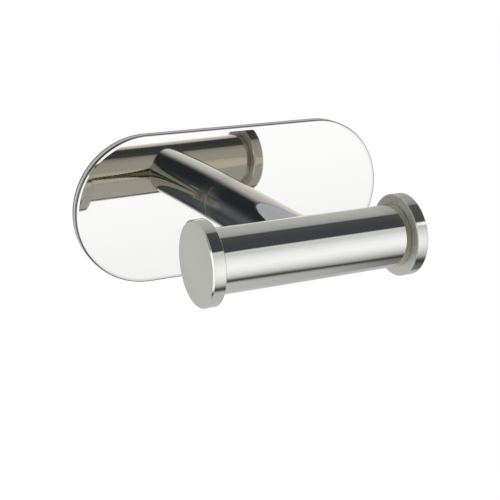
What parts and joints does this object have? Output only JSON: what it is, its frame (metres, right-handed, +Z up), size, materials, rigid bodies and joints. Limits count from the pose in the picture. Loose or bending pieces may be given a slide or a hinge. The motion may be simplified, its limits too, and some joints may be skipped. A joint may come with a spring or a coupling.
{
  "type": "double wall hook",
  "caption": "Polished steel wall hook: a short flanged crossbar on a round post that stands off an oval adhesive back plate, for towels or robes at both sides of the post.",
  "frame": {"origin": "middle of the adhesive pad's back face, on the wall", "axes": "+Z up; +Y into the wall, along the pad's outward normal, so the hook stands out along -Y; +X along the plate's length, to the right of someone facing the wall"},
  "size_m": [0.1, 0.0648, 0.0446],
  "materials": {
    "mirror_steel": "mirror-polished stainless steel",
    "polished_steel": "turned and polished stainless steel",
    "plain_steel": "plain machined steel",
    "adhesive_foam": "closed-cell acrylic foam, tacky on both faces"
  },
  "bodies": {
    "root": {"adhesive_pad": "adhesive_foam", "back_plate": "mirror_steel", "locating_pin": "plain_steel", "post": "polished_steel", "plate_screw": "plain_steel", "crossbar_insert": "plain_steel", "crossbar": "polished_steel", "end_cap_left": "polished_steel", "end_cap_right": "polished_steel"}
  },
  "joints": []
}
